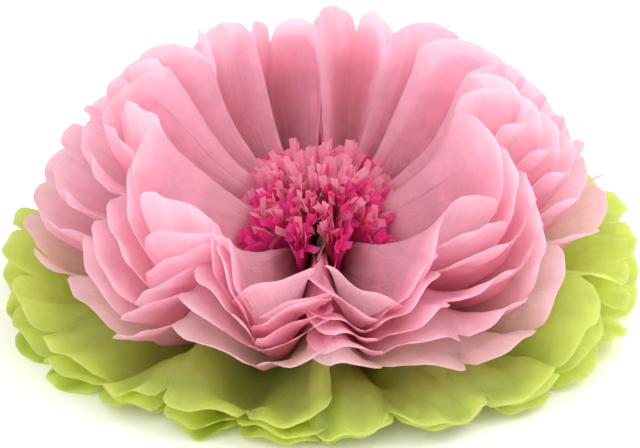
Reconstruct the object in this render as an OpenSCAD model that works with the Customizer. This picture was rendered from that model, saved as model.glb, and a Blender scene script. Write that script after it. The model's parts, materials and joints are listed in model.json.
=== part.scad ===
// Tissue-paper flower. Thirteen pleated sheets are gathered at the middle by one flat twist tie,
// and each sheet opens into a left and a right fan that bends where it leaves the gathered neck.
// From the underside up: green leaf sheets, pink petal sheets, then short slit sheets that stand
// up as the fringed heart. The leaf tips rest on z = 0, and the gathered neck runs along X.

/* [Sheets] */
// Length of a leaf sheet from tip to tip, flat, across the flower
sheet_length = 406; // [380:2:430]
// Pleats folded into each sheet
pleats = 12; // [10:2:16]
// Thickness that stands for a sheet with its crinkles
paper = 0.6; // [0.4:0.1:1]
// Height of a pleat either side of its sheet's mean surface
pleat_height = 4; // [2:0.5:5]
// Depth of the rounded scallops, as a share of a fan's length
scallop = 0.1; // [0.05:0.01:0.12]

/* [Petals] */
// Length of the lowest petal fan as it curves
petal_reach = 186; // [176:1:190]
// How much shorter each higher petal fan reaches, because it stands in a deeper curve
petal_step = 4; // [2:0.5:5]
// Rise of the tips of the innermost petals at the sides of the flower, in degrees
petal_rise = 52; // [49:1:55]

/* [Fringe] */
// Length of the lowest fringe fan
fringe_reach = 70; // [62:1:78]
// Strips cut into each fringe fan
strips = 18; // [12:2:24]

/* [Gathered neck and twist tie] */
// Radius of the bundle that the thirteen sheets make inside the tie
bundle_radius = 9; // [8:0.5:10]
// Length of the gathered neck along X, from bend to bend
neck_length = 12; // [10:1:14]
// Width of the flat twist tie
tie_width = 4; // [3:0.5:5]
// Thickness of the twist tie
tie_thick = 0.8; // [0.6:0.1:1]
// Inside radius of the eye at the end of the tie, for a thread or a hook
eye_radius = 4; // [3:0.5:5]

/* [Hidden] */
$fn = 64;

LEAVES = 3;
PETALS = 6;
HOT_FRINGES = 2;
PALE_FRINGES = 2;
SHEETS = LEAVES + PETALS + HOT_FRINGES + PALE_FRINGES;
PLAIN_SHEETS = LEAVES + PETALS;

LEAF_GREEN = [0.66, 0.76, 0.24];
PETAL_PINK = [0.95, 0.62, 0.72];
HOT_PINK = [0.84, 0.11, 0.40];
PALE_PINK = [0.93, 0.47, 0.60];
TIE_WHITE = [0.92, 0.92, 0.90];

// Sheets are numbered 0 to 12 from the lowest leaf sheet up.
function is_leaf(k) = k < LEAVES;
function is_fringe(k) = k >= PLAIN_SHEETS;
function petal_index(k) = k - LEAVES;
function fringe_index(k) = k - PLAIN_SHEETS;

// The sheets lie on each other in the round bundle, so each has its own height and width there.
layer_pitch = 2 * bundle_radius / SHEETS;
sheet_gap = 0.2;
bead_radius = (layer_pitch - sheet_gap) / 2;
function layer_offset(k) = (k - (SHEETS - 1) / 2) * layer_pitch;
function neck_width(k) =
    2 * sqrt(pow(bundle_radius, 2) - pow(abs(layer_offset(k)) + bead_radius, 2));

// Where a sheet bends. The fringes are steep, so each bends nearer the tie than the one below it.
fringe_setback = 0.8;
function bend_x(k) = neck_length / 2 - (is_fringe(k) ? fringe_setback * fringe_index(k) : 0);
// A fan starts clear of the bead where its sheet bends.
fan_start = bead_radius + 1;
leaf_reach = sheet_length / 2 - neck_length / 2 - fan_start;
// A fan turns a little past a half circle, so that the two fans of a sheet nearly meet.
fan_half_angle = 91.5;

// Length of a fan, along its chord.
function reach(k) =
    is_leaf(k) ? leaf_reach :
    is_fringe(k) ? fringe_reach - 3 * fringe_index(k) :
    petal_reach - petal_step * petal_index(k);

// Rise of a fan's chord above the horizontal at the front, the side and the back of the flower.
leaf_droop = 4;
function front_rise(k) =
    is_leaf(k) ? -leaf_droop + 1.5 * k :
    is_fringe(k) ? 32 + 12 * fringe_index(k) :
    6 + (petal_rise - 36) / 5 * petal_index(k);
function side_rise(k) =
    is_leaf(k) ? -leaf_droop + 5 * k :
    is_fringe(k) ? 46 + 9 * fringe_index(k) :
    13 + (petal_rise - 13) / 5 * petal_index(k);
function back_rise(k) =
    is_leaf(k) ? -leaf_droop + 6 * k :
    is_fringe(k) ? 46 + 9 * fringe_index(k) :
    17 + (petal_rise - 25) / 5 * petal_index(k);
// phi runs from the front, -90, through the side, 0, to the back, +90.
function rise(k, phi) =
    let (end_rise = phi < 0 ? front_rise(k) : back_rise(k))
    side_rise(k) + (end_rise - side_rise(k)) * pow(sin(phi), 2);
// How much less a fan rises at the neck than at its tip. The petals curve up like a bowl.
function bowl(k) =
    is_leaf(k) ? k :
    is_fringe(k) ? 10 :
    8 + 4 * petal_index(k);

// The lowest leaf sheet touches z = 0 where its folds end.
waist_height =
    (1 - scallop) * leaf_reach * sin(leaf_droop) + (pleat_height + paper / 2) * cos(leaf_droop)
    - layer_offset(0);

// Stations run along phi and rings run along u, the share of the fan's length.
CELLS_PER_PLEAT = 4;
RINGS = 2;
SLIT_START = 0.38;
function cells(k) = is_fringe(k) ? 2 * strips - 1 : CELLS_PER_PLEAT * pleats;
function station_phi(k, i) = fan_half_angle * (2 * i / cells(k) - 1);

// The share of the length at which ring j lies. A scallop is a half circle's outline.
function scallop_end(i) =
    let (s = (i % CELLS_PER_PLEAT) / CELLS_PER_PLEAT)
    1 - scallop * (1 - sqrt(1 - pow(2 * s - 1, 2)));
function strip_end(i) = 0.93 + 0.07 * sin(floor(i / 2) * 137);
function ring_share(k, i, j) =
    j == 0 ? 0 :
    j == 1 ? (is_fringe(k) ? SLIT_START : 0.5) :
    is_fringe(k) ? strip_end(i) : scallop_end(i);

// Height of the pleats: zero at the neck, and alternately up and down at the folds.
function zigzag(i) =
    let (s = (i / CELLS_PER_PLEAT) % 2)
    1 - 2 * abs(s - 1);
function pleat_lift(k, i, u) =
    is_fringe(k) ? 0 : pleat_height * zigzag(i) * (1 - pow(1 - u, 3));
// Strips lean a few degrees in and out of their fan by turns.
function strip_lean(k, i, j) = is_fringe(k) && j == 2 ? 2 * sin(floor(i / 2) * 101) : 0;

function fan_point(k, i, j, face) =
    let (
        phi = station_phi(k, i),
        u = ring_share(k, i, j),
        angle = rise(k, phi) - bowl(k) * (1 - u) + strip_lean(k, i, j),
        lift = pleat_lift(k, i, u) + face * paper / 2,
        along = reach(k) * u * cos(angle) - lift * sin(angle)
    )
    [
        bend_x(k) + (fan_start + along) * cos(phi),
        (neck_width(k) / 2 + fan_start + along) * sin(phi),
        waist_height + layer_offset(k) + reach(k) * u * sin(angle) + lift * cos(angle)
    ];

// A strip's cells run to the last ring. The cells of the slits between strips stop at the first.
function cell_rings(k, i) = is_fringe(k) && i % 2 == 1 ? 1 : RINGS;
function point_index(k, i, j, top) = 2 * (i * (RINGS + 1) + j) + top;
function two_triangles(a, b, c, d) = [[a, b, c], [a, c, d]];
// A wall along the radial line of station i, over ring cell j.
function radial_wall(k, i, j, far_side) =
    let (
        a = point_index(k, i, j, 0),
        b = point_index(k, i, j, 1),
        c = point_index(k, i, j + 1, 1),
        d = point_index(k, i, j + 1, 0)
    )
    far_side ? two_triangles(a, d, c, b) : two_triangles(a, b, c, d);
// A wall across cell i, at ring j.
function cross_wall(k, i, j, outer) =
    let (
        a = point_index(k, i, j, 0),
        b = point_index(k, i, j, 1),
        c = point_index(k, i + 1, j, 1),
        d = point_index(k, i + 1, j, 0)
    )
    outer ? two_triangles(a, b, c, d) : two_triangles(a, d, c, b);
function face_pair(k, i, j) = concat(
    two_triangles(
        point_index(k, i, j, 1), point_index(k, i + 1, j, 1),
        point_index(k, i + 1, j + 1, 1), point_index(k, i, j + 1, 1)
    ),
    two_triangles(
        point_index(k, i, j, 0), point_index(k, i, j + 1, 0),
        point_index(k, i + 1, j + 1, 0), point_index(k, i + 1, j, 0)
    )
);

// One fan on the right of the flower, as a closed thin shell.
module right_fan(k) {
    n = cells(k);
    points = [
        for (i = [0:n]) for (j = [0:RINGS]) for (face = [-1, 1]) fan_point(k, i, j, face)
    ];
    faces = [
        for (i = [0:n - 1]) for (j = [0:cell_rings(k, i) - 1]) each face_pair(k, i, j),
        for (i = [0:n - 1]) each cross_wall(k, i, 0, false),
        for (i = [0:n - 1]) each cross_wall(k, i, cell_rings(k, i), true),
        for (i = [0:n]) for (j = [0:RINGS - 1])
            let (
                before = i > 0 && j < cell_rings(k, i - 1),
                after = i < n && j < cell_rings(k, i)
            )
            if (before != after) each radial_wall(k, i, j, before)
    ];
    polyhedron(points, faces);
}

module fan(k, side) {
    color(sheet_colour(k))
        if (side == "left") mirror([1, 0, 0]) right_fan(k);
        else right_fan(k);
}

// The part of a sheet inside the tie, with a bead at each end where the paper bends.
module neck(k) {
    width = neck_width(k);
    color(sheet_colour(k))
        translate([0, 0, waist_height + layer_offset(k)]) {
            cube([2 * bend_x(k), width, 2 * bead_radius], center = true);
            for (end = [-1, 1])
                translate([end * bend_x(k), 0, 0])
                    rotate([90, 0, 0])
                        cylinder(r = bead_radius, h = width, center = true);
        }
}

// The flat twist tie: a band round the bundle, a short twisted tail that is bent back under the
// flower, and an eye at its end. The eye's axis is vertical.
band_radius = bundle_radius + 0.3;
tail_z = waist_height - band_radius - tie_width / 2;
tail_length = 14;
TAIL_TWISTS = 7;
eye_y = tail_length + eye_radius + tie_thick;

module tie_band() {
    translate([0, 0, waist_height])
        rotate([0, 90, 0])
            difference() {
                cylinder(r = band_radius + tie_thick, h = tie_width, center = true);
                cylinder(r = band_radius, h = 2 * tie_width, center = true);
            }
}

// Two thicknesses of tie, turned a little further at each step. The steps overlap a little, and
// the last one ends inside the wall of the eye.
module tie_tail() {
    step = tail_length / TAIL_TWISTS;
    for (i = [0:TAIL_TWISTS - 1])
        translate([0, i * step, tail_z])
            rotate([0, 90 + i * 180 / (TAIL_TWISTS - 1), 0])
                translate([-tie_width / 2, 0, -tie_thick])
                    cube([tie_width, step + tie_thick / 2, 2 * tie_thick]);
}

module tie_eye() {
    translate([0, eye_y, tail_z])
        difference() {
            cylinder(r = eye_radius + tie_thick, h = tie_width, center = true);
            cylinder(r = eye_radius, h = 2 * tie_width, center = true);
        }
}

module twist_tie() {
    color(TIE_WHITE) {
        tie_band();
        tie_tail();
        tie_eye();
    }
}

function sheet_colour(k) =
    is_leaf(k) ? LEAF_GREEN :
    !is_fringe(k) ? PETAL_PINK :
    fringe_index(k) < HOT_FRINGES ? HOT_PINK : PALE_PINK;

function sheet_name(k) =
    is_leaf(k) ? str("leaf_sheet_", k + 1) :
    !is_fringe(k) ? str("petal_sheet_", petal_index(k) + 1) :
    fringe_index(k) < HOT_FRINGES ? str("hot_fringe_", fringe_index(k) + 1) :
    str("pale_fringe_", fringe_index(k) - HOT_FRINGES + 1);

twist_tie();
for (k = [0:SHEETS - 1]) {
    name = sheet_name(k);
    neck(k);
    fan(k, "left");
    fan(k, "right");
}
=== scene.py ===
import json
import math

import bpy
import numpy as np
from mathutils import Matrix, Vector


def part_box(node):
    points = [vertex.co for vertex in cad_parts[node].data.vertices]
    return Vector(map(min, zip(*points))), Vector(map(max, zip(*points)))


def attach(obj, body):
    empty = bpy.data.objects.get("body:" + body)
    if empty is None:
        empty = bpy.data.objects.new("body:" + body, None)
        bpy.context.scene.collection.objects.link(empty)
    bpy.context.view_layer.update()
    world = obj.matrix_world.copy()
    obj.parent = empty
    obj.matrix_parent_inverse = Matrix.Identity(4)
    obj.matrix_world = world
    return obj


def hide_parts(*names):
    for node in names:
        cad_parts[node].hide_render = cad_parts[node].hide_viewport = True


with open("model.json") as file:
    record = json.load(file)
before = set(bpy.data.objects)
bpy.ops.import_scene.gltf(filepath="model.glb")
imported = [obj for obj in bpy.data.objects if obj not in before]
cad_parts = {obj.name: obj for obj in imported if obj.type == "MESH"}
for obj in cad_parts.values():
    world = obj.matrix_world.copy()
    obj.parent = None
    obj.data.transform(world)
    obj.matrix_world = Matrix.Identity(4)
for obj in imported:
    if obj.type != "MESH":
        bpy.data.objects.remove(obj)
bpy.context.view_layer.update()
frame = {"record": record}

SEED = 20
MM = 0.001

# ---------------------------------------------------------------- the sheets of the flower

LEAVES = 3
PETALS = 6
FRINGES = 4
SIDES = ("left", "right")
# Folded panels in a fan, and the width of one
PLEATS = 12
PANEL = 50.8 * MM
# Share of a panel's width that its wrinkles leave, and the rounding of its end as a share of the length
PANEL_LEFT = 0.95
SCALLOP = 0.1
# Gap between a sheet's bend and its fan
FAN_START = 0.3 * MM
# Azimuth of a fan's two edges at the tie, in degrees either side of the middle
NECK_SPREAD = 95
# Degrees by which the ends of the panels curl out, and the size of the ripples along their edges
CURL = {"leaf": 16, "petal": 22, "fringe": 0}
RUFFLE = {"leaf": 9 * MM, "petal": 4.5 * MM, "fringe": 0}
# Strips cut into each panel of a fringe
STRIPS_PER_PANEL = 10
# Where the slits start, as a share of a fringe's length, and its shortest strip, as a share of a slit
SLITS = {"hot_fringe_paper": (0.55, 0.6), "pale_fringe_paper": (0.32, 0.86)}
# How much longer the longest strip is than the shortest, as a share of a slit
STRIP_VARIATION = 0.2
# The flat twist tie, and the band that it makes round the bundle
TIE_WIDTH = 4 * MM
TIE_THICK = 0.8 * MM
BAND_RADIUS = 9.7 * MM


class Sheet:
    """One sheet of tissue: where it leaves the tie, and how its two fans rise from there."""

    def __init__(self, name, layer, kind, slot, reach, rises, bowl, overlap):
        self.name = name
        self.layer = layer
        self.kind = kind
        self.slot = slot
        self.reach = reach
        self.front, self.middle, self.back = rises
        self.bowl = bowl
        self.front_overlap, self.back_overlap = overlap
        low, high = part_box(name + "_neck")
        self.bend_x = high.x - (high.z - low.z) / 2
        self.half_width = (high.y - low.y) / 2
        self.half_thick = (high.z - low.z) / 2
        self.height = (high.z + low.z) / 2


def leaf_sheet(i):
    rises = (-4 + 1.5 * i, -4 + 5 * i, -4 + 6 * i)
    return Sheet(f"leaf_sheet_{i + 1}", i, "leaf", "leaf_paper", 195 * MM, rises, i, (8 * MM, 8 * MM))


def petal_sheet(i):
    rises = (9 + 2.7 * i, 13 + 7.8 * i, 17 + 6.4 * i)
    overlap = (9 * MM, 9 * MM) if i < PETALS - 1 else (-3 * MM, 6 * MM)
    reach = (184 - 3.6 * i) * MM
    return Sheet(f"petal_sheet_{i + 1}", LEAVES + i, "petal", "petal_paper", reach, rises, 8 + 4 * i, overlap)


def fringe_sheet(i):
    colour = "hot" if i < 2 else "pale"
    rises = (54 + 2 * i, 34 + 7 * i, 36 + 6 * i)
    name = f"{colour}_fringe_{i % 2 + 1}"
    slot = f"{colour}_fringe_paper"
    return Sheet(name, LEAVES + PETALS + i, "fringe", slot, (70 - 3 * i) * MM, rises, 10, (5 * MM, 3 * MM))


PLAIN = [leaf_sheet(i) for i in range(LEAVES)] + [petal_sheet(i) for i in range(PETALS)]
FRINGED = [fringe_sheet(i) for i in range(FRINGES)]

# ---------------------------------------------------------------- small mathematical helpers

PERMUTATION = np.tile(np.random.default_rng(SEED).permutation(256), 3)
GRADIENTS = np.random.default_rng(SEED + 1).normal(size=(256, 3))
GRADIENTS /= np.linalg.norm(GRADIENTS, axis=1)[:, None]


def smooth(x):
    x = np.clip(x, 0, 1)
    return x * x * (3 - 2 * x)


def noise(x, y, z=0.0):
    """Gradient noise, roughly between -1 and 1, over arrays of coordinates."""
    x, y, z = np.broadcast_arrays(x, y, z)
    at = np.stack([x, y, z], -1).astype(float)
    cell = np.floor(at).astype(int)
    part = at - cell
    fade = part ** 3 * (part * (part * 6 - 15) + 10)
    total = np.zeros(x.shape)
    for corner in np.ndindex(2, 2, 2):
        key = (cell + corner) % 256
        index = PERMUTATION[PERMUTATION[PERMUTATION[key[..., 0]] + key[..., 1]] + key[..., 2]]
        weight = np.prod(np.where(corner, fade, 1 - fade), -1)
        total += weight * np.sum(GRADIENTS[index] * (part - corner), -1)
    return total * 1.6


def soft_floor(values, level, softness):
    """Values that never go below level, and hardly change well above it."""
    over = values - level
    return level + 0.5 * (over + np.sqrt(over * over + 4 * softness * softness))


def per_fold(sheet, side, salt):
    """A random number for each fold line. It changes slowly, so that neighbouring sheets are alike."""
    fold = 0.83 * np.arange(PLEATS + 1) + 31.4 * SIDES.index(side)
    return 2.2 * noise(fold, 0.22 * sheet.layer + 5.3 * salt, 1.7 * salt)


def across_panels(values, s):
    """Values given at the fold lines, and straight in between, as a flat panel is."""
    return np.interp(s, np.arange(PLEATS + 1), values)[:, None]


# ---------------------------------------------------------------- the shape of a fan

def fold_angles(sheet, side):
    """Azimuth of each fold line, from the front seam, -90 degrees, to the back seam."""
    spread = sheet.reach * math.cos(math.radians(sheet.middle * 0.8))
    front = 90 + math.degrees(math.asin((sheet.bend_x + sheet.front_overlap) / spread))
    back = 90 + math.degrees(math.asin((sheet.bend_x + sheet.back_overlap) / spread))
    folds = np.linspace(-front, back, PLEATS + 1)
    slack = max(0, 1 - spread * math.pi / PLEATS / PANEL)
    jitter = (0.1 + 0.45 * slack) * per_fold(sheet, side, 1) * 180 / PLEATS
    jitter[[0, -1]] = 0
    gaps = np.maximum(np.diff(folds + jitter), 0.25 * 180 / PLEATS)
    opened = np.concatenate([[0], np.cumsum(gaps)])
    return np.radians(-front + opened * (front + back) / opened[-1])


def rise_at(sheet, side, phi):
    """Rise of a fan's chord. Leaves and petals sit higher on the right, and the heart leans that way."""
    hand = 1 if side == "right" else -1
    lean = -5 if sheet.kind == "fringe" else 3 * (1 - sheet.layer / 9)
    middle = sheet.middle + lean * hand
    end = np.where(phi < 0, sheet.front, sheet.back + 2 + 2.5 * hand)
    return middle + (end - middle) * np.sin(phi) ** 2


def scallop_end(s):
    """Share of the length at which the rounded end of a panel lies."""
    across = 2 * (s - np.floor(np.minimum(s, PLEATS - 1e-6))) - 1
    return 1 - SCALLOP * (1 - np.sqrt(np.maximum(0, 1 - across ** 2)))


def seam_lift(sheet, side, S, U):
    """Lets one half lie over the other where they meet, by turns from sheet to sheet."""
    over = 1 if (sheet.layer % 2 == 0) == (side == "left") else -1
    front = 1 - smooth(S / 1.2)
    back = 1 - smooth((PLEATS - S) / 1.2)
    return over * (front - back) * smooth(U * 2) * 2.2 * MM


def fan_surface(sheet, side, s, U):
    """Points of a fan for columns s, in panels, at shares U of its length; its angles; its pleats."""
    hand = 40.0 * SIDES.index(side)
    folds = fold_angles(sheet, side)
    S = s[:, None]
    even = np.radians(np.interp(s, (0, PLEATS), (-NECK_SPREAD, NECK_SPREAD)))[:, None]
    phi = even + (across_panels(folds, s) - even) * smooth(U * 1.5)
    inner = smooth(np.minimum(S, PLEATS - S) / 1.0)
    phi = phi + inner * U * 0.05 * noise(S * 0.8, U * 2.0, sheet.layer * 0.4 + hand)

    curl = across_panels(np.minimum(CURL[sheet.kind] * per_fold(sheet, side, 2), 14 + 3 * sheet.layer), s)
    lobe = across_panels(2 * per_fold(sheet, side, 3), s)
    theta = rise_at(sheet, side, phi) + sheet.bowl * (2 * U - 1) + lobe
    theta = theta + 2.2 * noise(S * 0.35, U * 1.2, sheet.layer * 0.35 + hand + 7)
    theta = theta - curl * smooth((U - 0.62) / 0.38) ** 1.5
    theta = np.radians(theta)

    step = np.diff(U, axis=1) * sheet.reach
    middle = (theta[:, 1:] + theta[:, :-1]) / 2
    start = np.zeros((len(s), 1))
    along = np.concatenate([start, np.cumsum(step * np.cos(middle), 1)], 1)
    up = np.concatenate([start, np.cumsum(step * np.sin(middle), 1)], 1)

    pleats = pleat_lift(sheet, side, s, U, folds, along + FAN_START)
    lift = pleats
    if sheet.kind != "fringe":
        lift = lift + 5 * MM * U * noise(S * 0.6, U * 1.8, sheet.layer * 0.25 + hand + 20)
        lift = lift + 2.5 * MM * U * noise(S * 0.9, U * 3.0, sheet.layer * 0.35 + hand + 30)
        lift = lift + seam_lift(sheet, side, S, U)
    lift = lift + crumple(sheet, S, U, hand)

    out = FAN_START + along - lift * np.sin(theta)
    x = sheet.bend_x + out * np.cos(phi)
    y = (sheet.half_width + out) * np.sin(phi)
    z = sheet.height + up + lift * np.cos(theta)
    z = soft_floor(z, (0.4 + 0.5 * sheet.layer) * MM, 0.6 * MM)
    return np.stack([x, y, z], -1), phi, theta, pleats


def pleat_lift(sheet, side, s, U, folds, radius):
    """Height of the accordion folds. A panel keeps its width, so it stands steeper as folds close."""
    panel = np.minimum(np.floor(s).astype(int), PLEATS - 1)
    chords = (radius + 4 * MM)[None] * np.diff(folds)[:, None, None]
    depths = np.sqrt(np.maximum(0, (PANEL_LEFT * PANEL) ** 2 - chords ** 2))
    padded = np.concatenate([depths[:1], depths, depths[-1:]])
    heights = (padded[1:] + padded[:-1]) / 4
    gathered = 6 * MM if sheet.kind == "fringe" else 20 * MM
    heights = heights * (1 - np.exp(-radius / gathered))
    uneven = 1 + 0.15 * per_fold(sheet, side, 4)[:, None, None] * smooth(U * 1.5)
    up_or_down = (-1.0) ** np.arange(PLEATS + 1)
    heights = heights * uneven * up_or_down[:, None, None]
    columns = np.arange(len(s))
    here = heights[panel, columns]
    there = heights[panel + 1, columns]
    w = (s - panel)[:, None]
    rounded = 0.5 - 0.5 * np.cos(np.pi * w)
    blend = w + (rounded - w) * (0.05 + 0.3 * smooth(U))
    bulge = 3.6 * MM * per_fold(sheet, side, 5)[panel][:, None] * 4 * w * (1 - w) * smooth(U * 1.2)
    return here + (there - here) * blend + bulge


def crumple(sheet, S, U, hand):
    """Fine wrinkles: radial gathers near the tie, and sharp and soft creases further out."""
    gathers = 0.9 * MM * np.exp(-5 * U) * noise(S * 5.0, U * 3.0, sheet.layer * 3.1 + hand)
    long_creases = 1 - 2 * np.abs(noise(S * 2.3 + U * 0.7, U * 1.6, sheet.layer * 0.9 + hand))
    gathers = gathers + 1.5 * MM * smooth(U * 4) * (1 - 0.6 * U) * long_creases
    creases = 1 - 2 * np.abs(noise(S * 1.9, U * 6.0, sheet.layer * 1.7 + hand))
    fine = noise(S * 5.0, U * 16.0, sheet.layer * 4.3 + hand)
    ruffle = noise(S * 3.2, U * 2.2, sheet.layer * 0.35 + hand + 50)
    gathers = gathers + RUFFLE[sheet.kind] * smooth((U - 0.45) / 0.5) * (ruffle + 0.2)
    return gathers + 0.7 * MM * smooth(U * 3) * creases + 0.25 * MM * smooth(U * 3) * fine


# ---------------------------------------------------------------- meshes

def quads(index):
    """Faces between the neighbours of a grid of point numbers."""
    return np.stack([index[:-1, :-1], index[1:, :-1], index[1:, 1:], index[:-1, 1:]], -1).reshape(-1, 4)


def grid_faces(columns, rows):
    return quads(np.arange(columns * rows).reshape(columns, rows))


def mesh_object(name, points, faces, uvs, material, **values):
    """A smooth mesh object. Its "paper" UV map is the flat paper in metres, and values are attributes."""
    mesh = bpy.data.meshes.new(name)
    mesh.from_pydata(points.reshape(-1, 3).tolist(), [], faces.tolist())
    layer = mesh.uv_layers.new(name="paper")
    loops = np.empty(len(mesh.loops), np.int32)
    mesh.loops.foreach_get("vertex_index", loops)
    layer.data.foreach_set("uv", uvs.reshape(-1, 2)[loops].astype(np.float32).ravel())
    for key, numbers in values.items():
        attribute = mesh.attributes.new(key, "FLOAT", "POINT")
        attribute.data.foreach_set("value", np.asarray(numbers, np.float32).ravel())
    mesh.polygons.foreach_set("use_smooth", np.ones(len(mesh.polygons), bool))
    mesh.materials.append(material)
    mesh.update()
    made = bpy.data.objects.new(name, mesh)
    bpy.context.scene.collection.objects.link(made)
    return made


def stands_for(made, node, body):
    """Makes an object ride on its body in the place of its CAD node."""
    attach(made, body)
    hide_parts(node)


def body_of_fan(sheet, side):
    return "gathered_neck" if sheet.layer == 0 else f"{sheet.name}_{side}"


def mirrored(points, side):
    return points * (-1, 1, 1) if side == "left" else points


def plain_fan(sheet, side, material):
    """A leaf or petal fan: one pleated sheet with a scalloped end."""
    cells = 16
    rows = 48
    s = np.linspace(0, PLEATS, PLEATS * cells + 1)
    t = np.linspace(0, 1, rows + 1)[None, :]
    U = t * (1 - (1 - scallop_end(s))[:, None] * t ** 3)
    points, _, _, pleats = fan_surface(sheet, side, s, U)
    uvs = np.stack([np.broadcast_to(s[:, None] * PANEL, U.shape), U * sheet.reach], -1)
    faces = grid_faces(len(s), rows + 1)
    # Painted highlight: the colour is lighter within 4 mm of the scalloped end.
    rim = smooth(1 - (U[:, -1:] - U) * sheet.reach / (4 * MM))
    # Painted shade: the colour runs from the shade colour in pleat valleys and near the tie to the face
    # colour on ridges and further out.
    tone = 0.6 * smooth((U - 0.1) / 0.8) + 0.4 * (0.5 + 0.5 * np.tanh(pleats / (7 * MM)))
    return mesh_object(f"{sheet.name}_{side}_paper", mirrored(points, side), faces, uvs, material,
                       rim=rim, tone=tone)


def strip(rng, edges, phi, theta, length, rows):
    """Points of one cut strip, which goes on from its three edge points and leans, bends and twists."""
    share = np.linspace(0, 1, rows + 1)[1:]
    elevation = theta + math.radians(rng.normal(2, 13)) * smooth(share * 2)
    elevation = elevation + math.radians(rng.normal(-4, 26)) * share ** 2
    azimuth = phi + (rng.normal(0, 0.28) * smooth(share * 2) + rng.normal(0, 0.4) * share ** 2)
    ahead = np.stack([
        np.cos(elevation) * np.cos(azimuth), np.cos(elevation) * np.sin(azimuth), np.sin(elevation),
    ], -1)
    centre = edges[1] + np.cumsum(ahead, 0) * length / rows
    across = edges[2] - edges[0]
    half = np.linalg.norm(across) / 2
    across = across / (2 * half)
    across = across - ahead * (ahead @ across)[:, None]
    across = across / np.linalg.norm(across, axis=1)[:, None]
    turn = (rng.normal(0, 0.8) * share)[:, None]
    across = across * np.cos(turn) + np.cross(ahead, across) * np.sin(turn)
    half = half + (0.49 * PANEL / STRIPS_PER_PANEL - half) * smooth(share * 2)[:, None]
    channel = rng.normal(0, 0.5 * MM) * share[:, None] * np.cross(ahead, across)
    return np.stack([centre - across * half, centre + channel, centre + across * half])


def fringe_fan(sheet, side, material):
    """A fringe fan: a pleated base, and from its slits on a row of separate strips."""
    rng = np.random.default_rng(SEED + 200 + 2 * sheet.layer + SIDES.index(side))
    strips = PLEATS * STRIPS_PER_PANEL
    base_rows, rows = 8, 7
    s = np.linspace(0, PLEATS, 2 * strips + 1)
    slit_start, shortest = SLITS[sheet.slot]
    U = np.broadcast_to(np.linspace(0, slit_start, base_rows + 1), (len(s), base_rows + 1))
    base, phi, theta, _ = fan_surface(sheet, side, s, U)
    points, faces = [base.reshape(-1, 3)], [grid_faces(len(s), base_rows + 1)]
    uvs = [np.stack([np.broadcast_to(s[:, None] * PANEL, U.shape), U * sheet.reach], -1).reshape(-1, 2)]
    used = len(points[0])
    for i in range(strips):
        columns = [2 * i, 2 * i + 1, 2 * i + 2]
        length = (1 - slit_start) * sheet.reach * rng.uniform(shortest, shortest + STRIP_VARIATION)
        made = strip(rng, base[columns, -1], phi[2 * i + 1, -1], theta[2 * i + 1, -1], length, rows)
        index = np.concatenate([
            np.array(columns)[:, None] * (base_rows + 1) + base_rows,
            used + np.arange(3 * rows).reshape(3, rows),
        ], 1)
        faces.append(quads(index))
        points.append(made.reshape(-1, 3))
        v = slit_start * sheet.reach + np.linspace(0, length, rows + 1)[1:]
        uvs.append(np.stack(np.broadcast_arrays(s[columns][:, None] * PANEL, v), -1).reshape(-1, 2))
        used += 3 * rows
    points, uvs = mirrored(np.concatenate(points), side), np.concatenate(uvs)
    # Painted shade: the colour deepens towards the base of the fringe.
    tone = smooth(uvs[:, 1] / sheet.reach / 0.8)
    # The fringe strips get no painted edge highlight.
    return mesh_object(f"{sheet.name}_{side}_paper", points, np.concatenate(faces), uvs, material,
                       rim=np.zeros_like(tone), tone=tone)


def neck(sheet, material):
    """The middle of a sheet, squeezed into tight gathers where it passes through the tie."""
    gathers = 3 * PLEATS
    across = np.linspace(-1, 1, 2 * gathers + 1)
    lengthwise = np.linspace(-1, 1, 9)
    Y, X = np.meshgrid(across, lengthwise, indexing="ij")
    ridges = ((-1.0) ** np.arange(len(across)))[:, None]
    z = sheet.height + 0.8 * sheet.half_thick * ridges * (0.6 + 0.4 * noise(Y * 9, X * 2, sheet.layer))
    points = np.stack([X * sheet.bend_x, Y * sheet.half_width, z], -1)
    uvs = np.stack([Y * PLEATS * PANEL / 2, X * sheet.bend_x], -1)
    made = mesh_object(f"{sheet.name}_neck_paper", points, grid_faces(len(across), 9), uvs, material)
    stands_for(made, sheet.name + "_neck", "gathered_neck")
    return made


def make_sheet(sheet, material):
    """Both fans and the neck of one sheet of paper."""
    middle = neck(sheet, material)
    for side in SIDES:
        make_fan = fringe_fan if sheet.kind == "fringe" else plain_fan
        made = make_fan(sheet, side, material)
        stands_for(made, f"{sheet.name}_{side}_fan", body_of_fan(sheet, side))


# ---------------------------------------------------------------- the twist tie

def ribbon_outline(width, thick):
    """Outline of a flat paper ribbon over a wire: thin at the edges and thick at the wire."""
    at = np.linspace(-1, 1, 13)
    half = thick * (0.28 + 0.22 * np.exp(-(at * 4) ** 2))
    top = np.stack([at * width / 2, half], -1)
    return np.concatenate([top, (top * (1, -1))[::-1]])


def sweep(centre, across, outward, outline, closed):
    """A ribbon along the centre points: outline x goes along across and outline y along outward."""
    points = centre[:, None] + across[:, None] * outline[None, :, :1]
    points = points + outward[:, None] * outline[None, :, 1:]
    rings, size = len(centre), len(outline)
    index = np.arange(rings * size).reshape(rings, size)
    index = np.concatenate([index, index[:, :1]], 1)
    if closed:
        index = np.concatenate([index, index[:1]], 0)
    faces = np.stack([index[:-1, :-1], index[:-1, 1:], index[1:, 1:], index[1:, :-1]], -1).reshape(-1, 4)
    return points.reshape(-1, 3), faces


def ring(centre, axis_across, first, second, radius, outline):
    """A closed ribbon ring whose width lies along its axis."""
    turn = np.linspace(0, 2 * np.pi, 72, endpoint=False)[:, None]
    outward = first * np.cos(turn) + second * np.sin(turn)
    across = np.broadcast_to(axis_across, outward.shape)
    return sweep(centre + outward * radius, across, outward, outline, True)


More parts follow.
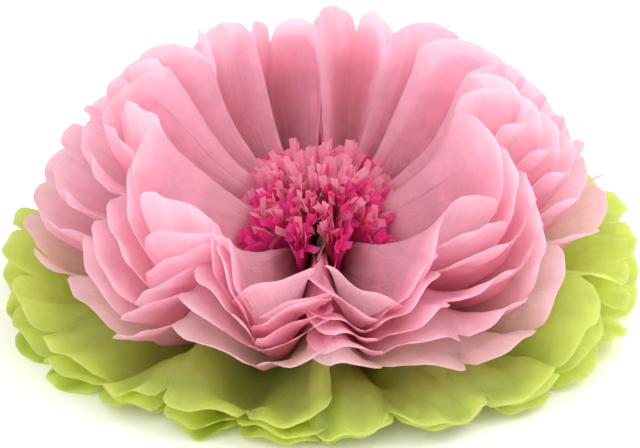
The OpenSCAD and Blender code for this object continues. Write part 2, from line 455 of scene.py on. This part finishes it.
def twist_tie(material):
    """A band round the bundle, two ends twisted together, and an eye at their end."""
    _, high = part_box("twist_tie")
    mount = next(m for m in frame["record"]["mounts"] if m["name"] == "hang_eye")
    eye = np.array(mount["pos_m"])
    bore = mount["dims"]["r_mm"] * MM
    X, Y, Z = np.eye(3)
    axis_height = high.z - BAND_RADIUS - TIE_THICK / 2
    flat = ribbon_outline(TIE_WIDTH, TIE_THICK)
    doubled = ribbon_outline(TIE_WIDTH, 2 * TIE_THICK)
    parts = [
        ring(np.array([0, 0, axis_height]), X, Y, Z, BAND_RADIUS, flat),
        ring(eye, Z, X, Y, bore + TIE_THICK / 2, flat),
    ]
    share = np.linspace(0, 1, 60)[:, None]
    start = eye * (1, 0, 1)
    end = eye - (bore + TIE_THICK / 2) * Y
    turn = 3 * np.pi * share
    across = Z * np.cos(turn) + X * np.sin(turn)
    outward = X * np.cos(turn) - Z * np.sin(turn)
    parts.append(sweep(start + (end - start) * share, across, outward, doubled, False))
    points, faces, used = [], [], 0
    for part_points, part_faces in parts:
        points.append(part_points)
        faces.append(part_faces + used)
        used += len(part_points)
    points = np.concatenate(points)
    made = mesh_object("twist_tie_ribbon", points, np.concatenate(faces), points[:, :2], material)
    stands_for(made, "twist_tie", "gathered_neck")


# ---------------------------------------------------------------- materials

def tinted(nodes, links, tint, factor, target):
    """Feeds a colour, or a colour output, multiplied by a pattern's value, into a colour socket."""
    scale = nodes.new("ShaderNodeMix")
    scale.data_type = "RGBA"
    scale.blend_type = "MULTIPLY"
    scale.inputs[0].default_value = 1
    if isinstance(tint, tuple):
        scale.inputs[6].default_value = (*tint, 1)
    else:
        links.new(tint, scale.inputs[6])
    links.new(factor, scale.inputs[7])
    links.new(scale.outputs[2], target)


def pattern(nodes, links, scale, detail, roughness=0.5, stretch=1.0):
    """Noise over the paper's own flat surface, drawn out along its length by a stretch above 1."""
    uv = nodes.new("ShaderNodeUVMap")
    uv.uv_map = "paper"
    drawn = nodes.new("ShaderNodeVectorMath")
    drawn.operation = "MULTIPLY"
    drawn.inputs[1].default_value = (1, 1 / stretch, 1)
    links.new(uv.outputs[0], drawn.inputs[0])
    made = nodes.new("ShaderNodeTexNoise")
    made.inputs["Scale"].default_value = scale
    made.inputs["Detail"].default_value = detail
    made.inputs["Roughness"].default_value = roughness
    links.new(drawn.outputs[0], made.inputs["Vector"])
    return made


def remapped(nodes, links, source, low, high):
    """A noise's middle range, spread over low to high."""
    made = nodes.new("ShaderNodeMapRange")
    made.inputs["From Min"].default_value = 0.3
    made.inputs["From Max"].default_value = 0.7
    made.inputs["To Min"].default_value = low
    made.inputs["To Max"].default_value = high
    links.new(source, made.inputs["Value"])
    return made.outputs[0]


def wrinkled(nodes, links, scale, strength, distance, stretch=1.0, under=None):
    """A bumped normal. It adds to the bumps of another one, if that is given as under."""
    wrinkle = pattern(nodes, links, scale, 6, 0.6, stretch)
    bump = nodes.new("ShaderNodeBump")
    bump.inputs["Strength"].default_value = strength
    bump.inputs["Distance"].default_value = distance
    links.new(wrinkle.outputs["Fac"], bump.inputs["Height"])
    if under:
        links.new(under, bump.inputs["Normal"])
    return bump.outputs[0]


def shaded(nodes, links, painted_shade_colour, face):
    """A paper's colour with painted light: painted shade, deeper in the folds and towards the tie, and a
    painted highlight, lighter along a cut edge.
    """
    # Painted shade: this attribute mixes from the shade colour to the face colour.
    tone = nodes.new("ShaderNodeAttribute")
    tone.attribute_name = "tone"
    # Painted highlight: lightens the colour halfway to white along a cut edge.
    rim = nodes.new("ShaderNodeAttribute")
    rim.attribute_name = "rim"
    paper = nodes.new("ShaderNodeMix")
    paper.data_type = "RGBA"
    paper.inputs[6].default_value = (*painted_shade_colour, 1)
    paper.inputs[7].default_value = (*face, 1)
    links.new(tone.outputs["Fac"], paper.inputs[0])
    weight = nodes.new("ShaderNodeMath")
    weight.operation = "MULTIPLY"
    weight.inputs[1].default_value = 0.5
    links.new(rim.outputs["Fac"], weight.inputs[0])
    painted_highlight_mix = nodes.new("ShaderNodeMix")
    painted_highlight_mix.data_type = "RGBA"
    painted_highlight_mix.inputs[7].default_value = (*[0.5 + 0.5 * c for c in face], 1)
    links.new(weight.outputs[0], painted_highlight_mix.inputs[0])
    links.new(paper.outputs[2], painted_highlight_mix.inputs[6])
    return painted_highlight_mix.outputs[2]


def tissue(name, face, painted_shade_colour, through, share=0.6):
    """Tissue paper: a matte face that reflects one tint, with painted shade in its folds and towards the tie
    and a painted highlight along cut edges, and lets a warmer one through.
    """
    material = bpy.data.materials.new(name)
    material.use_nodes = True
    nodes, links = material.node_tree.nodes, material.node_tree.links
    nodes.clear()
    output = nodes.new("ShaderNodeOutputMaterial")
    mix = nodes.new("ShaderNodeMixShader")
    mix.inputs[0].default_value = share
    front = nodes.new("ShaderNodeBsdfPrincipled")
    front.inputs["Roughness"].default_value = 0.75
    front.inputs["Specular IOR Level"].default_value = 0.15
    behind = nodes.new("ShaderNodeBsdfTranslucent")
    links.new(front.outputs[0], mix.inputs[1])
    links.new(behind.outputs[0], mix.inputs[2])
    links.new(mix.outputs[0], output.inputs["Surface"])
    mottle = remapped(nodes, links, pattern(nodes, links, 60, 5).outputs["Fac"], 0.9, 1.04)
    tinted(nodes, links, shaded(nodes, links, painted_shade_colour, face), mottle, front.inputs["Base Color"])
    tinted(nodes, links, through, mottle, behind.inputs["Color"])
    folds = wrinkled(nodes, links, 70, 0.8, 4 * MM, 9)
    normal = wrinkled(nodes, links, 110, 0.6, 2 * MM, under=folds)
    links.new(normal, front.inputs["Normal"])
    links.new(normal, behind.inputs["Normal"])
    return material


def tie_paper():
    """Off-white paper over a wire: matte, with fine fibres."""
    material = bpy.data.materials.new("tie_paper")
    material.use_nodes = True
    nodes, links = material.node_tree.nodes, material.node_tree.links
    shader = nodes["Principled BSDF"]
    shader.inputs["Roughness"].default_value = 0.55
    mottle = remapped(nodes, links, pattern(nodes, links, 900, 4).outputs["Fac"], 0.85, 1.0)
    tinted(nodes, links, (0.86, 0.85, 0.80), mottle, shader.inputs["Base Color"])
    links.new(wrinkled(nodes, links, 1500, 0.3, 0.1 * MM), shader.inputs["Normal"])
    return material


# Each paper: its face colour, a painted shade colour for folds and near the tie, and the colour that it lets
# through.
PAPERS = {
    "leaf_paper": tissue("leaf_tissue", (0.58, 0.67, 0.21), (0.46, 0.57, 0.10), (0.80, 0.88, 0.16)),
    "petal_paper": tissue("petal_tissue", (0.93, 0.60, 0.76), (1.0, 0.52, 0.58), (1.0, 0.64, 0.72)),
    "hot_fringe_paper": tissue("hot_tissue", (1.0, 0.11, 0.48), (1.0, 0.10, 0.45), (1.0, 0.13, 0.48)),
    "pale_fringe_paper": tissue("pale_tissue", (0.92, 0.42, 0.60), (0.95, 0.28, 0.48), (0.98, 0.44, 0.58)),
}

for sheet in PLAIN + FRINGED:
    make_sheet(sheet, PAPERS[sheet.slot])
twist_tie(tie_paper())


# ---------------------------------------------------------------- floor, light and camera

def add_light(name, size, power, place, colour):
    data = bpy.data.lights.new(name, "AREA")
    data.size = size
    data.energy = power
    data.color = colour
    lamp = bpy.data.objects.new(name, data)
    lamp.location = place
    lamp.rotation_euler = (Vector((0, 0, 0.06)) - Vector(place)).to_track_quat("-Z", "Y").to_euler()
    bpy.context.scene.collection.objects.link(lamp)


def studio():
    """A white floor under an even white sky: a key on the right, a glow behind and a fill in front."""
    size = 6.0
    corners = [(-size, -size, 0), (size, -size, 0), (size, size, 0), (-size, size, 0)]
    mesh = bpy.data.meshes.new("floor")
    mesh.from_pydata(corners, [], [(0, 1, 2, 3)])
    floor = bpy.data.objects.new("floor", mesh)
    bpy.context.scene.collection.objects.link(floor)
    material = bpy.data.materials.new("pale_floor")
    material.use_nodes = True
    shader = material.node_tree.nodes["Principled BSDF"]
    shader.inputs["Base Color"].default_value = (0.95, 0.95, 0.95, 1)
    shader.inputs["Roughness"].default_value = 0.9
    mesh.materials.append(material)
    world = bpy.data.worlds.new("studio")
    bpy.context.scene.world = world
    world.use_nodes = True
    world.node_tree.nodes["Background"].inputs["Color"].default_value = (1, 1, 1, 1)
    world.node_tree.nodes["Background"].inputs["Strength"].default_value = 1.1
    add_light("key", 0.9, 6, (0.95, -0.15, 1.05), (1, 0.98, 0.96))
    add_light("glow", 0.5, 6, (0.6, 0.9, 0.45), (1, 1, 0.95))
    add_light("fill", 1.2, 6, (-0.6, -1.1, 0.8), (1, 0.97, 1))
    bpy.context.scene.view_settings.view_transform = "Standard"


def camera():
    data = bpy.data.cameras.new("camera")
    data.sensor_width = 36
    data.lens = 111
    elevation = math.radians(25)
    distance = 1.25
    aim = Vector((0, 0, 0.048))
    made = bpy.data.objects.new("camera", data)
    back = Vector((0, -math.cos(elevation), math.sin(elevation)))
    made.location = aim + back * distance
    made.rotation_euler = (-back).to_track_quat("-Z", "Y").to_euler()
    bpy.context.scene.collection.objects.link(made)
    bpy.context.scene.camera = made


studio()
camera()
